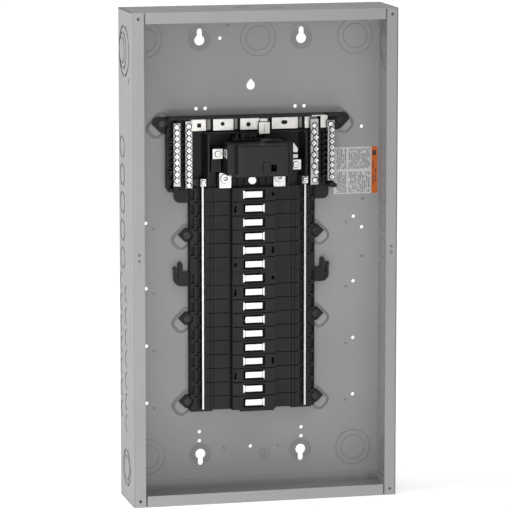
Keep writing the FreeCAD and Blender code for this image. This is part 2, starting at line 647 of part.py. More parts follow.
def mains_ear(side, word):
    """Flat ear at an upper corner of the mains moulding, sloped below, with a boss for its screw."""
    x, z, back = side * size("mains_ear_x"), size("mains_ear_z"), size("branch_back")
    corners = ((-22.0, 9.0), (5.0, 9.0), (8.4, 8.2), (11.2, 5.6), (12.8, 2.4), (13.0, 0.2), (12.0, -1.8),
               (1.4, -12.4), (-3.5, -14.3), (-22.0, -14.3))
    web = front_prism(f"ear_web_{word}", [(x + side * out, z + up) for out, up in corners], back, 7)
    boss = disc(f"lobe_boss_{word}", x, z, (back, "ear_depth"), "ear_boss_radius")
    return [web, boss]


def comb_z(index):
    """Height of one comb rib beside the neutral bars, counted from the lowest."""
    return f"98.5+{index}*binding_pitch"


def outer_fence():
    """Wall, comb ribs and clips outside the left outer neutral bar."""
    parts = [slab("outer_side", ("-mains_half", "-mains_half+3"), ("mains_bottom", "mains_top-14"),
                  ("branch_back", 16)),
             slab("outer_comb_wall", (-114.6, -112.4), ("mains_bottom", 162), ("branch_back", 13.5))]
    for index in range(8):
        parts.append(block(f"outer_comb_{index}", (-113.9, 1.7), (comb_z(index), 1.1), ("branch_back", 20)))
    for index, z in enumerate((110.0, 151.0)):
        parts.append(block(f"clip_{index}", (-114.0, 3.0), (z, 1.4), ("branch_back", 22)))
    return parts


def mains_walls():
    """Walls, ribs, posts and steps that stand on the floor of the mains moulding."""
    parts = outer_fence()
    for side, hand in both_sides():
        x = (f"{side}*bay_half", f"{side}*(bay_half-wall)")
        parts.append(slab(f"bay_side_{hand}", x if side < 0 else x[::-1], ("bay_foot", "bay_top"),
                          ("branch_back", "bay_depth")))
        parts.append(block(f"bay_leg_{hand}", (f"{side}*64.6", 0.8),
                           ("mains_bottom/2+bay_foot/2", "bay_foot/2-mains_bottom/2"),
                           ("branch_back", 30)))
        parts.append(block(f"pocket_head_{hand}", (f"{side}*83", 14.6), ("bay_top-1", 1),
                           ("branch_back", "bar_back-0.2")))
        parts.append(block(f"comb_wall_{hand}", (f"{side}*99.1", 1.1),
                           ("mains_bottom/2+81", "81-mains_bottom/2"), ("branch_back", 13.5)))
        for index in range(8):
            parts.append(block(f"comb_{hand}_{index}", (f"{side}*99.1", 2.4), (comb_z(index), 1.1),
                               ("branch_back", 20)))
        parts.append(block(f"post_{hand}", (f"{side}*108", 3.2), (87.4, 2.6), ("branch_back", 27)))
        parts.append(block(f"post_foot_{hand}", (f"{side}*109.5", 6.5), (84.6, 2.4), ("branch_back", 20)))
    parts.append(slab("bay_head", ("-bay_half", "bay_half"), ("bay_top-wall", "bay_top"),
                      ("branch_back", 20)))
    for index, (low, high) in enumerate(((-118, 78.8), (103.4, 119))):
        parts.append(slab(f"head_wall_{index}", (low, high), ("mains_top-2.5", "mains_top"),
                          ("branch_back", 28)))
    parts.append(slab("strap_shelf", (-104, 104), (163.7, 179.9), ("branch_back", "strap_depth-strap_dip")))
    for index, (low, high) in enumerate(STRAP_PADS):
        parts.append(slab(f"strap_rest_{index}", (low + 0.8, high - 0.8), (163.7, 179.9),
                          ("branch_back", "strap_depth")))
    return parts


def mains_towers():
    """Terminal towers, lug partitions and fins inside the main bay."""
    parts = []
    for side, hand in both_sides():
        z = f"terminal_{hand}_z"
        parts.append(block(f"tower_{hand}", (f"{side}*(terminal_x+0.55)", 6.45), (z, 7.4),
                           ("branch_back", "terminal_depth-1.6")))
        fall = 26 if side < 0 else 9
        parts.append(slab(f"step_{hand}", (f"{side}*terminal_x-6.9", f"{side}*terminal_x+6.9"),
                          (f"{z}-{fall}", f"{z}-7"), ("branch_back", 30)))
        for index, x in enumerate((20.0, 10.5)):
            parts.append(block(f"partition_{hand}_{index}", (f"{side}*{x}", 0.9), (97.0, 8.6),
                               ("branch_back", 17)))
        parts.append(block(f"lug_fence_{hand}", (f"{side}*48.5", 0.9), (97.0, 8.6), ("branch_back", 20)))
    parts.append(slab("bay_step", (-30.0, 27.5), (108.5, 147.0), ("branch_back", "cover_back-0.3")))
    parts.append(slab("bus_cover", (-29.8, 27.5), (85.8, 109.0), ("bus_depth+bus_thick+0.15", 10.6)))
    return parts + bay_fins()


def bay_fins():
    """The comb of fins between the crossover strap and the mains cover."""
    fins = [slab("fin_block", (-19.5, -14.0), (151.4, 160.0), ("branch_back", 30)),
            slab("fin_bridge", (-14.5, 1.1), (155.0, 160.0), ("branch_back", 27)),
            slab("fin_shelf", (-31.0, 20.5), (151.4, 152.9), ("branch_back", 32))]
    places = ((-24.0, 30), (-10.5, 30), (-5.7, 30), (1.1, 30), (9.4, 20), (15.2, 20))
    for index, (x, depth) in enumerate(places):
        fins.append(block(f"fin_{index}", (x, 0.7), (156.4, 4.6), ("branch_back", depth)))
    for side, hand in both_sides():
        foot, head, top = (31.0, 24.5, 160.6) if side < 0 else (20.4, 15.4, 156.5)
        outline = [(side * foot, 151.6), (side * head, top), (side * (head - 1.6), 151.6)]
        fins.append(front_prism(f"fin_brace_{hand}", outline, size("branch_back"), 32))
    return fins


def make_mains_base():
    """The wide upper moulding that carries the neutral bars, the strap and the main bay."""
    low, high = size("mains_bottom"), size("mains_top")
    left, right = -size("mains_half"), size("mains_right")
    outline = [(left, high - 20), (left, low + 2), (left + 14, low - 4.5), (right - 14, low - 4.5),
               (right, low + 2), (right, high), (left + 5, high)]
    floor = front_prism("mains_floor_plate", outline, size("branch_back"), size("mains_floor"))
    parts = [floor] + mains_walls() + mains_towers()
    holes = [disc("stud_way", 0, "stud_z", (3, 20), 3.2), disc("stud_seat", 0, "stud_z", (10.6, 30), 6.2)]
    for side, hand in both_sides():
        parts += mains_ear(side, hand)
        place = (f"{side}*mains_ear_x", "mains_ear_z")
        holes.append(disc(f"mains_ear_hole_{hand}", *place, (0, 20), "screw_hole_radius"))
        holes.append(disc(f"mains_head_room_{hand}", *place, ("ear_depth", 30), 7.6))
        holes.append(disc(f"post_notch_{hand}", f"{side}*terminal_x", f"terminal_{hand}_z",
                          (28, 50), "terminal_screw_radius+0.6"))
        holes.append(block(f"bus_room_{hand}", (f"{side}*27", 19.5), (90.0, 6.2), (3, "bus_depth+bus_thick")))
        holes.append(block(f"branch_room_{hand}", (f"{side}*54", 54.5), (81.0, 4.78), (0, 26)))
    whole = fuse("mains_whole", parts)
    node("mains_base", cut("mains_shape", whole, holes))


# ---------------------------------------------------------------- neutral parts

def make_neutral_rail(side, word):
    """Plug-on neutral rail: a tall strip with a rolled front edge, in the trough of the mouldings."""
    x = f"{side}*rail_x"
    web = block(f"rail_web_{word}", (x, 0.8), ("(rail_top+rail_bottom)/2", "(rail_top-rail_bottom)/2"),
                ("trough_depth", "rail_front-2"))
    edge = block(f"rail_edge_{word}", (x, "rail_width/2"),
                 ("(rail_top+rail_bottom)/2", "(rail_top-rail_bottom)/2"), ("rail_front-2.4", "rail_front"))
    foot = block(f"rail_foot_{word}", (f"{side}*(rail_x-1.3)", 1.3),
                 ("(rail_top+rail_bottom)/2", "(rail_top-rail_bottom)/2"),
                 ("trough_depth", "trough_depth+1.4"))
    rail = fuse(f"rail_whole_{word}", [web, edge, foot])
    holes = [block(f"rail_gap_{word}_{row}", (x, 5), (f"{row_z(row)}-row_pitch/2", 3.0),
                   ("trough_depth-1", 16.5))
             for row in range(1, 16)]
    node(f"neutral_rail_{word}", cut(f"rail_shape_{word}", rail, holes))


def make_neutral_strap():
    """The crossover strap that joins the left and right neutral bars, dipping between its pads."""
    thick, depth, dip = size("strap_thick"), size("strap_depth"), size("strap_dip")
    front = []
    for low, high in STRAP_PADS:
        front += [(low, depth + thick), (high, depth + thick)]
        if high < STRAP_PADS[-1][1]:
            following = STRAP_PADS[[pad[1] for pad in STRAP_PADS].index(high) + 1][0]
            low_front = depth + thick - dip
            front += [(high + STRAP_SLOPE, low_front), (following - STRAP_SLOPE, low_front)]
    back = [(x, d - thick) for x, d in reversed(front)]
    strap = outline_prism("strap_strip", front + back, size("strap_bottom"), size("strap_top"))
    flap = slab("strap_flap", (79, 100), ("strap_top+1", "strap_top+2.4"), (7.2, 28.3))
    riser = slab("strap_riser", (95.5, 99.5), ("strap_top-1", "strap_top+1.5"),
                 ("strap_depth", "strap_depth+strap_thick"))
    tools = [block("square_hole", (-73.9, 2.7), (171.1, 2.7), (0, 30)),
             disc("strap_hole_left", -41.6, 172.5, (0, 30), 2.6),
             disc("strap_hole_middle", -6.1, 170.9, (0, 30), 2.9),
             disc("strap_oval_a", 42.2, 172.5, (0, 30), 2.7), disc("strap_oval_b", 45.2, 172.5, (0, 30), 2.7),
             block("strap_oval_c", (43.7, 1.5), (172.5, 2.7), (0, 30))]
    whole = fuse("strap_whole", [strap, flap, riser])
    node("neutral_strap", cut("strap_shape", whole, tools))


def make_bonding_strap():
    """The short strap that bonds the neutral to the box: a bent tab hanging over the crossover."""
    front = slab("bond_front", (6.9, 21.9), (158.3, 174.0), (22.0, 23.2))
    top = slab("bond_top", (6.9, 21.9), (172.8, 174.0), (18.6, 23.2))
    foot = slab("bond_foot", (9.5, 19.3), (172.8, 178.6), (18.6, 19.8))
    mark = slab("bond_mark", (14.1, 14.7), (161.8, 170.2), (22.8, 24))
    whole = fuse("bond_whole", [front, top, foot])
    node("bonding_strap", cut("bond_shape", whole, [mark]))


def binding_screw(name, x, z, depth):
    """A binding screw whose square head stands on its corner, half sunk, with a dimple in the middle."""
    reach = size("binding_head")
    corners = [(x - reach, z), (x, z - reach), (x + reach, z), (x, z + reach)]
    head = front_prism(name + "_head", corners, depth - 1.2, depth + 1.3)
    shank = disc(name + "_shank", x, z, (depth - 3.4, depth - 1.1), 1.85)
    dimple = disc(name + "_dimple", x, z, (depth + 0.2, depth + 3), 0.8)
    return cut(name, fuse(name + "_solid", [head, shank]), [dimple])


def make_neutral_bar(word, x, width, low, high, screw_places, end_places):
    """A drilled terminal bar and the row of screws that clamp its wires."""
    half = width / 2
    deep = slab(f"bar_deep_{word}", (x - half, x + half), (low, "strap_bottom-0.3"),
                ("bar_back", "bar_front"))
    seat = slab(f"bar_seat_{word}", (x - half, x + half), ("strap_bottom-1", high),
                ("bar_seat", "bar_front"))
    bar = fuse(f"bar_{word}", [deep, seat])
    tools = []
    for index, (screw_x, z) in enumerate(screw_places + end_places):
        tools.append(disc(f"tap_{word}_{index}", screw_x, z, ("bar_front-3.45", 40), 1.85))
        tools.append(disc(f"counterbore_{word}_{index}", screw_x, z, ("bar_front-1.2", 40),
                          "binding_head+0.55"))
    for index, (screw_x, z) in enumerate(screw_places):
        tools.append(rod_x(f"wire_hole_{word}_{index}", (x - half - 1, x + half + 1), "bar_front-5.4", z,
                           "wire_hole"))
    node(f"neutral_bar_{word}", cut(f"bar_shape_{word}", bar, tools))
    screws = [binding_screw(f"screw_{word}_{index}", screw_x, z, size("bar_front"))
              for index, (screw_x, z) in enumerate(screw_places)]
    node(f"binding_screws_{word}", group(f"screws_{word}", screws))


def bar_end_screw(name, x, z, depth):
    """A smooth round-headed screw that holds the end of a neutral bar."""
    head = disc(name + "_head", x, z, (f"{depth}-1.2", f"{depth}+1.8"), 3.2)
    crown = disc(name + "_crown", x, z, (f"{depth}+1.7", f"{depth}+2.5"), 2.5)
    shank = disc(name + "_shank", x, z, (f"{depth}-3.4", f"{depth}-1.1"), 1.85)
    return fuse(name, [head, crown, shank])


def make_neutral_bars():
    """The four neutral bars with their binding screws, and the round screws at their ends."""
    pitch = size("binding_pitch")
    straight = {"left_outer": 163.0, "left_inner": 163.0, "right_outer": 161.6}
    layouts = {
        "left_outer": (-106.3, size("bar_width"), 90.4, 175.6, -106.3, [(-106.3, 170.9)]),
        "left_inner": (-90.0, size("bar_width"), 87.6, 178.0, -90.0, [(-90.0, 171.4), (-90.0, 91.5)]),
        "right_outer": (106.6, size("bar_width"), 92.4, 174.4, 107.6, [(106.6, 169.5)]),
    }
    ends = []
    for word, (x, width, low, high, screw_x, end_places) in layouts.items():
        rows = [straight[word] - index * pitch for index in range(9)]
        places = [(screw_x, z) for z in rows if z > low + 4.6]
        make_neutral_bar(word, x, width, low, high, places, end_places)
        ends += end_places
    staggered = [(83.7 + (2.0 if index % 2 else -1.0), 159.6 - index * 7.85) for index in range(8)]
    right_ends = [(83.7, 168.0), (84.6, 93.6)]
    make_neutral_bar("right_inner", 83.5, 10.4, 87.5, 177.0, staggered, right_ends)
    ends += right_ends
    screws = [bar_end_screw(f"end_screw_{index}", x, z, "bar_front") for index, (x, z) in enumerate(ends)]
    node("bar_end_screws", group("end_screw_group", screws))


def make_links():
    """Link straps from the inner neutral bars to the rails, with their clamps and screws."""
    screws = []
    for side, word in both_sides():
        bar_x = 90.0 if side < 0 else 84.0
        inner, outer = f"{side}*67.0", f"{side}*{bar_x + 3.4}"
        x = (outer, inner) if side < 0 else (inner, outer)
        z = (89.8, 98.6)
        node(f"bar_link_{word}", slab(f"link_{word}", x, z, ("bar_back-1.4", "bar_back")))
        clamp = block(f"clamp_{word}", (f"{side}*70.4", 3.8), (94.6, 5.0), ("bar_back", 25.6))
        tap = disc(f"clamp_tap_{word}", f"{side}*70.4", 94.8, (20, 30), 2.0)
        seat = disc(f"clamp_seat_{word}", f"{side}*70.4", 94.8, (24.8, 30), 3.3)
        node(f"rail_clamp_{word}", cut(f"rail_clamp_shape_{word}", clamp, [tap, seat]))
        head = disc(f"clamp_head_{word}", f"{side}*70.4", 94.8, (24.8, 26.9), 2.6)
        shank = disc(f"clamp_shank_{word}", f"{side}*70.4", 94.8, (20, 24.9), 2.0)
        slot = block(f"clamp_slot_{word}", (f"{side}*70.4", 3.6), (94.8, 0.45), (26.2, 30))
        screws.append(cut(f"clamp_screw_{word}", fuse(f"clamp_solid_{word}", [head, shank]), [slot]))
    node("rail_clamp_screws", group("clamp_screw_group", screws))


# ---------------------------------------------------------------- mains parts

def make_main_lug(side, word):
    """An aluminium main lug with its wire hole from above and its socket screw in front."""
    x = f"{side}*lug_{word}_x"
    body = block(f"lug_body_{word}", (x, "lug_half"), ("(lug_bottom+lug_top)/2", "(lug_top-lug_bottom)/2"),
                 ("bus_depth+bus_thick", "lug_front"))
    wire = rod_z(f"lug_wire_{word}", x, "lug_wire_depth", ("lug_bottom+6", "lug_top+10"), 4.4)
    way = disc(f"lug_way_{word}", x, "lug_screw_z", ("lug_wire_depth", 20), 2.0)
    tap = disc(f"lug_tap_{word}", x, "lug_screw_z", (19.15, 40), "lug_screw_radius+clearance")
    mouth = disc(f"lug_mouth_{word}", x, "lug_screw_z", ("lug_front-0.9", 40), "lug_screw_radius+0.5")
    node(f"main_lug_{word}", cut(f"lug_shape_{word}", body, [wire, way, tap, mouth]))
    plug = disc(f"lug_plug_{word}", x, "lug_screw_z", (19.2, 22.2), "lug_screw_radius")
    corners = []
    for index in range(6):
        spoke = FreeCAD.Rotation(FreeCAD.Vector(0, 0, 1), 60 * index).multVec(FreeCAD.Vector(3.4, 0, 0))
        corners.append((side * size(f"lug_{word}_x") + spoke.x, size("lug_screw_z") + spoke.y))
    socket = front_prism(f"lug_socket_{word}", corners, 20.0, 27)
    node(f"lug_screw_{word}", cut(f"lug_screw_shape_{word}", plug, [socket]))


def make_line_terminal(side, word):
    """A tin-plated terminal pad on its tower, its screw, and the blade down to the bus."""
    x, z = f"{side}*terminal_x", f"terminal_{word}_z"
    pad = block(f"pad_{word}", (x, "terminal_width/2"), (z, "terminal_height/2"),
                ("terminal_depth-1.6", "terminal_depth"))
    hole = disc(f"pad_hole_{word}", x, z, (30, 50), "terminal_screw_radius+clearance")
    seat = disc(f"pad_seat_{word}", x, z, ("terminal_depth-0.6", 50), 4.3)
    blade = block(f"blade_{word}", (f"{side}*(terminal_x-terminal_width/2+0.5)", 0.5),
                  (z, "terminal_height/2"), (9, "terminal_depth"))
    node(f"line_terminal_{word}", cut(f"terminal_shape_{word}", fuse(f"terminal_whole_{word}", [pad, blade]),
                                      [hole, seat]))
    head = disc(f"terminal_head_{word}", x, z, ("terminal_depth-0.5", "terminal_depth+1.2"), 3.6)
    shank = disc(f"terminal_shank_{word}", x, z, ("terminal_depth-9", "terminal_depth-0.4"),
                 "terminal_screw_radius")
    drive = block(f"terminal_drive_{word}", (x, 1.3), (z, 1.3), ("terminal_depth+0.6", "terminal_depth+4"))
    screw = cut(f"terminal_screw_shape_{word}", fuse(f"terminal_solid_{word}", [head, shank]), [drive])
    node(f"terminal_screw_{word}", screw)


def make_breaker_brackets():
    """Steel brackets that a main breaker would hook on: a gusset on the right, a spring leaf left."""
    gusset = [(45.6, 134.4), (56.6, 134.4), (56.6, 139.8), (50.5, 147.4), (45.6, 147.4)]
    plate = front_prism("bracket_gusset", gusset, 38.6, 40.2)
    leg = slab("bracket_leg", (45.6, 46.8), (126.6, 147.4), (7.0, 40.2))
    lip = slab("bracket_lip", (45.6, 56.6), (126.6, 131.6), (38.6, 40.2))
    node("breaker_bracket_right", fuse("bracket_right", [plate, leg, lip]))
    leaf = slab("leaf_front", (-46.5, -45.5), (131.4, 142.6), (46.0, 60.0))
    leaf_leg = slab("leaf_leg", (-46.5, -45.5), (132.5, 138.3), (7.0, 46.0))
    leaf_window = slab("leaf_window", (-50.0, -40.0), (134.0, 140.0), (49.0, 56.5))
    leaf_sheet = fuse("bracket_left_sheet", [leaf, leaf_leg])
    node("breaker_bracket_left", cut("bracket_left", leaf_sheet, [leaf_window]))


def chamfered_block(name, half_width, z, depth, chamfer):
    """A block centred on x = 0 whose front edges are chamfered."""
    low, high = z
    near, far = depth
    shape = Part.makeBox(2 * half_width, far - near, high - low, FreeCAD.Vector(-half_width, -far, low))
    front_edges = [edge for edge in shape.Edges
                   if all(abs(vertex.Y + far) < 0.01 for vertex in edge.Vertexes)]
    feature = doc.addObject("Part::Feature", name)
    feature.Shape = shape.makeChamfer(chamfer, front_edges)
    return feature


def make_mains_cover():
    """The deep insulating cover in front of the mains: a stepped shell, open at the back."""
    half, raised, wall = size("cover_half"), size("cover_raised_half"), 2.2
    low, high = size("cover_bottom"), size("cover_top")
    back, step, front = size("cover_back"), size("cover_step"), size("cover_front")
    base = chamfered_block("cover_base", half, (low, high), (back, step), 0.8)
    tower = chamfered_block("cover_tower", raised, (low, high), (step - 2, front), 1.8)
    hump_outline = [(2.0, high - 1), (9.0, high + 3.2), (31.0, high + 3.2), (37.0, high - 1)]
    hump = front_prism("cover_hump", hump_outline, back + 11.5, step - 8)
    hollows = [slab("cover_hollow", (-half + wall, half - wall), (low + wall, high - wall),
                    (back - 5, step - wall)),
               slab("cover_tower_hollow", (-raised + wall, raised - wall), (low + wall, high - wall),
                    (step - 5, front - wall))]
    grip = slab("cover_grip", (-0.6, 6.8), (112.2, 127.0), ("cover_front-0.5", "cover_front+1.8"))
    groove = slab("cover_groove", (-2.0, -0.6), (114.0, 127.6), ("cover_front-1.2", "cover_front+5"))
    window = slab("cover_window", (9.6, 17.6), (115.0, 124.2), ("cover_front-5", "cover_front+5"))
    whole = fuse("cover_whole", [base, tower, hump, grip])
    node("mains_cover", cut("cover_shape", whole, hollows + [window, groove]))


def make_centre_stud():
    """The round aluminium head of the stud that clamps the middle of the interior."""
    head = disc("stud_head", 0, "stud_z", (10.7, 13.4), 5.4)
    shank = disc("stud_shank", 0, "stud_z", (7, 10.7), 3)
    node("centre_stud", fuse("stud_shape", [head, shank]))


def make_interior_screws():
    """The eight screws that hold the interior to the raised pads of the box."""
    screws = []
    for side, word, level, x, z in ear_places():
        name = f"fixing_{word}_{level}"
        head = disc(name + "_head", x, z, ("ear_depth", "ear_depth+1.6"), 4.6)
        crown = disc(name + "_crown", x, z, ("ear_depth+1.5", "ear_depth+2.4"), 3.2)
        shank = disc(name + "_shank", x, z, (0.6, "ear_depth"), "screw_shank_radius")
        slot = block(name + "_slot", (x, 2.4), (z, 0.45), ("ear_depth+1.4", "ear_depth+4"))
        screws.append(cut(name, fuse(name + "_solid", [head, crown, shank]), [slot]))
    node("interior_screws", group("interior_screw_group", screws))


# ---------------------------------------------------------------- whole object

def build():
    """Make every sub-part."""
    fill_sheet()
    make_box_wrapper()
    make_end_wall(1, "top")
    make_end_wall(-1, "bottom")
    make_wiring_label()
    make_mains_base()
    make_branch_base("upper", 1, 6, upper_tabs())
    make_branch_base("lower", 7, 16, wire_hooks() + foot_lips())
    for side, word in both_sides():
        make_bus_bar(side, word)
        make_neutral_rail(side, word)
        make_main_lug(side, word)
        make_line_terminal(side, word)
    make_neutral_strap()
    make_bonding_strap()
    make_neutral_bars()
    make_links()
    make_breaker_brackets()
    make_mains_cover()
    make_centre_stud()
    make_interior_screws()
    doc.recompute()


def check_document():
    """Stop if any object failed, or any sub-part is empty or invalid."""
    for item in doc.Objects:
        if "Invalid" in item.State or "Error" in item.State:
            raise RuntimeError(f"{item.Name} did not compute: {item.State}")
    for name, feature in nodes.items():
        if feature.Shape.isNull() or not feature.Shape.isValid() or not feature.Shape.Solids:
            raise RuntimeError(f"{name} is not a valid solid")


def export_nodes():
    """Write each sub-part to a STEP file of its own."""
    os.makedirs("parts", exist_ok=True)
    for name, feature in nodes.items():
        feature.Shape.exportStep(f"parts/{name}.step")
        print(name, len(feature.Shape.Solids), round(feature.Shape.Volume, 1))


build()
check_document()
export_nodes()
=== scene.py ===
import json
import math

import bmesh
import bpy
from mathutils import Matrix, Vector


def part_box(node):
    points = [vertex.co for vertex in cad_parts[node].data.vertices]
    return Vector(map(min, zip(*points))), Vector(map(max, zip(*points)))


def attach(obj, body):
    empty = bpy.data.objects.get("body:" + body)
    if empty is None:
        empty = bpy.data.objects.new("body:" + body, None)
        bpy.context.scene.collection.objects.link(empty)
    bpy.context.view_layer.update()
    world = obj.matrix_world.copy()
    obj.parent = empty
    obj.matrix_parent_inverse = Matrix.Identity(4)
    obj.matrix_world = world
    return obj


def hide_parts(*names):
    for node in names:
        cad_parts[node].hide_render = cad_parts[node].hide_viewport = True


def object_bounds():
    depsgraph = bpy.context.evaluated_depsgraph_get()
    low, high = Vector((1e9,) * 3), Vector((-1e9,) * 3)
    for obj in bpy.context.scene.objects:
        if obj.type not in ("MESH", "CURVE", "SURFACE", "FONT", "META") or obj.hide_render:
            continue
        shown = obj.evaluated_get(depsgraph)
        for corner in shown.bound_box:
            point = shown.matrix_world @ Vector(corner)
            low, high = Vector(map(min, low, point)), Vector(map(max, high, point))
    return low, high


# Looks of a residential load center. Lengths are in metres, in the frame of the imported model:
# X to the right, Z up, the open front of the box faces -Y, and its back lies at Y = 0.

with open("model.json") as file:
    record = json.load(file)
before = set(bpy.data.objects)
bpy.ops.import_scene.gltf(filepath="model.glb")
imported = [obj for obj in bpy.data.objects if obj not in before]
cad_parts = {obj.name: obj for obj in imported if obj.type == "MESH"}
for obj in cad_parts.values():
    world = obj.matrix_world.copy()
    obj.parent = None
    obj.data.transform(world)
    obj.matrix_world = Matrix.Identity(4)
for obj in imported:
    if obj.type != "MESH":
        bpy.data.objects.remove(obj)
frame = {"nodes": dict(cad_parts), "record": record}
cad_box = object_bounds()
record = frame["record"]

MM = 0.001

# Places on the box that the paint and the plating follow, in millimetres.
BOX_MID_DEPTH = 47.6            # half way from the back to the open front
SIDE_INNER_X, SIDE_OUTER_X = 178.0, 180.6   # just inside each face of the side walls
SIDE_MARGIN = 44.0              # how far from the mid depth the side cuts can lie
KEYHOLE_X, KEYHOLE_Z, KEYHOLE_MID_Z = 70.3, 283.15, 1.25    # the four dished discs round the keyholes
KEYHOLE_DISC = 15.2
STRAP_FLOOR_Z = 130.0           # the crossover strap lies above this height, the neutral rails below
RAIL_SHADE_DEPTH = 20.0          # the rails keep their plated tone only in front of this depth; behind it they get painted shade

SLOT_OF = {part["node"]: part["material_slot"] for part in record["subparts"]}
BODY_OF = {name: body for body, names in record["behaviour"]["bodies"].items() for name in names}


# ---------------------------------------------------------------- materials

class Finish:
    """A Principled material with short calls for the few nodes that the finishes below share."""

    def __init__(self, name, roughness, metallic=0.0, specular=0.5):
        self.material = bpy.data.materials.new(name)
        self.material.use_nodes = True
        self.tree = self.material.node_tree
        self.shader = self.tree.nodes["Principled BSDF"]
        self.shader.inputs["Roughness"].default_value = roughness
        self.shader.inputs["Metallic"].default_value = metallic
        self.shader.inputs["Specular IOR Level"].default_value = specular
        self.place = self.tree.nodes.new("ShaderNodeTexCoord").outputs["Object"]

    def link(self, output, target):
        self.tree.links.new(output, target)

    def stretched(self, scale):
        """Object coordinates scaled by a different number along each axis."""
        mapping = self.tree.nodes.new("ShaderNodeMapping")
        mapping.inputs["Scale"].default_value = scale
        self.link(self.place, mapping.inputs["Vector"])
        return mapping.outputs["Vector"]

    def noise(self, scale, detail=3.0, rough=0.55, place=None):
        """Cloudy noise with about this many features to the metre."""
        texture = self.tree.nodes.new("ShaderNodeTexNoise")
        texture.inputs["Scale"].default_value = scale
        texture.inputs["Detail"].default_value = detail
        texture.inputs["Roughness"].default_value = rough
        self.link(place or self.place, texture.inputs["Vector"])
        return texture.outputs["Fac"]

    def ramp(self, factor, stops):
        """A colour ramp through (position, colour) stops."""
        node = self.tree.nodes.new("ShaderNodeValToRGB")
        band = node.color_ramp
        while len(band.elements) < len(stops):
            band.elements.new(0.5)
        for element, (position, colour) in zip(band.elements, stops):
            element.position = position
            element.color = (*colour, 1.0)
        self.link(factor, node.inputs["Fac"])
        return node.outputs["Color"]

    def math(self, operation, first, second=None):
        """One arithmetic step on sockets or numbers."""
        node = self.tree.nodes.new("ShaderNodeMath")
        node.operation = operation
        for index, value in enumerate((first, second)):
            if isinstance(value, (int, float)):
                node.inputs[index].default_value = value
            elif value is not None:
                self.link(value, node.inputs[index])
        return node.outputs["Value"]

    def axis(self, letter):
        """One object coordinate."""
        node = self.tree.nodes.new("ShaderNodeSeparateXYZ")
        self.link(self.place, node.inputs["Vector"])
        return node.outputs[letter]

    def blend(self, factor, below, above):
        """Mix two colours, given as sockets or as plain colours."""
        node = self.tree.nodes.new("ShaderNodeMix")
        node.data_type = "RGBA"
        self.link(factor, node.inputs["Factor"])
        for key, value in (("A", below), ("B", above)):
            socket = next(s for s in node.inputs if s.name == key and s.type == "RGBA")
            if isinstance(value, tuple):
                socket.default_value = (*value, 1.0)
            else:
                self.link(value, socket)
        return next(s for s in node.outputs if s.type == "RGBA")

    def bump(self, height, strength, depth):
        """Raise the surface by a height map, up to this depth in metres."""
        node = self.tree.nodes.new("ShaderNodeBump")
        node.inputs["Strength"].default_value = strength
        node.inputs["Distance"].default_value = depth
        self.link(height, node.inputs["Height"])
        self.link(node.outputs["Normal"], self.shader.inputs["Normal"])

    def crevices(self, reach, closed_share=0.45, open_share=0.8, inside=False):
        """0 where the surface is closed in by others within this reach in metres, 1 where it is open; the
        finishes darken by it as painted shade.

        Inside looks into the sheet instead, which finds the rims of its cuts.
        """
        node = self.tree.nodes.new("ShaderNodeAmbientOcclusion")
        node.samples = 8
        node.inside = inside
        node.inputs["Distance"].default_value = reach
        spread = self.tree.nodes.new("ShaderNodeMapRange")
        spread.inputs["From Min"].default_value = closed_share
        spread.inputs["From Max"].default_value = open_share
        self.link(node.outputs["AO"], spread.inputs["Value"])
        return spread.outputs["Result"]

    def frontal(self, turned, straight):
        """0 on faces turned away from the front or the back, 1 on faces square to them."""
        texture = self.tree.nodes.new("ShaderNodeTexCoord")
        parts = self.tree.nodes.new("ShaderNodeSeparateXYZ")
        self.link(texture.outputs["Normal"], parts.inputs["Vector"])
        spread = self.tree.nodes.new("ShaderNodeMapRange")
        spread.inputs["From Min"].default_value = turned
        spread.inputs["From Max"].default_value = straight
        self.link(self.math("ABSOLUTE", parts.outputs["Y"]), spread.inputs["Value"])
        return spread.outputs["Result"]

    def colour(self, output):
        self.link(output, self.shader.inputs["Base Color"])

    def roughness(self, factor, low, high):
        """Vary the roughness between two numbers."""
        node = self.tree.nodes.new("ShaderNodeMapRange")
        node.inputs["To Min"].default_value = low
        node.inputs["To Max"].default_value = high
        self.link(factor, node.inputs["Value"])
        self.link(node.outputs["Result"], self.shader.inputs["Roughness"])


def grey(level):
    return (level, level, level)


def keyhole_discs(finish):
    """1 on the shallow discs round the four keyholes, 0 elsewhere; the paint darkens them as painted
    shade.
    """
    aside = finish.math("ABSOLUTE", finish.axis("X"))
    upright = finish.math("ABSOLUTE", finish.math("SUBTRACT", finish.axis("Z"), KEYHOLE_MID_Z * MM))
    across = finish.math("SUBTRACT", aside, KEYHOLE_X * MM)
    along = finish.math("SUBTRACT", upright, KEYHOLE_Z * MM)
    squares = [finish.math("MULTIPLY", offset, offset) for offset in (across, along)]
    return finish.math("LESS_THAN", finish.math("ADD", *squares), (KEYHOLE_DISC * MM) ** 2)


def side_rims(finish):
    """0 on the rims of the cuts in the side walls, fainter on the inside, and 1 elsewhere; the paint
    darkens by it as painted shade.
    """
    aside = finish.math("ABSOLUTE", finish.axis("X"))
    on_sides = finish.math("GREATER_THAN", aside, SIDE_INNER_X * MM)
    outside = finish.math("GREATER_THAN", aside, SIDE_OUTER_X * MM)
    depth = finish.math("ABSOLUTE", finish.math("ADD", finish.axis("Y"), BOX_MID_DEPTH * MM))
    amid = finish.math("MULTIPLY", finish.math("LESS_THAN", depth, SIDE_MARGIN * MM), on_sides)
    share = finish.math("ADD", finish.math("MULTIPLY", outside, 0.65), 0.35)
    unmarked = finish.math("SUBTRACT", 1.0, finish.math("MULTIPLY", amid, share))
    return finish.math("MAXIMUM", finish.crevices(1.4 * MM, 0.9, 1.0, inside=True), unmarked)


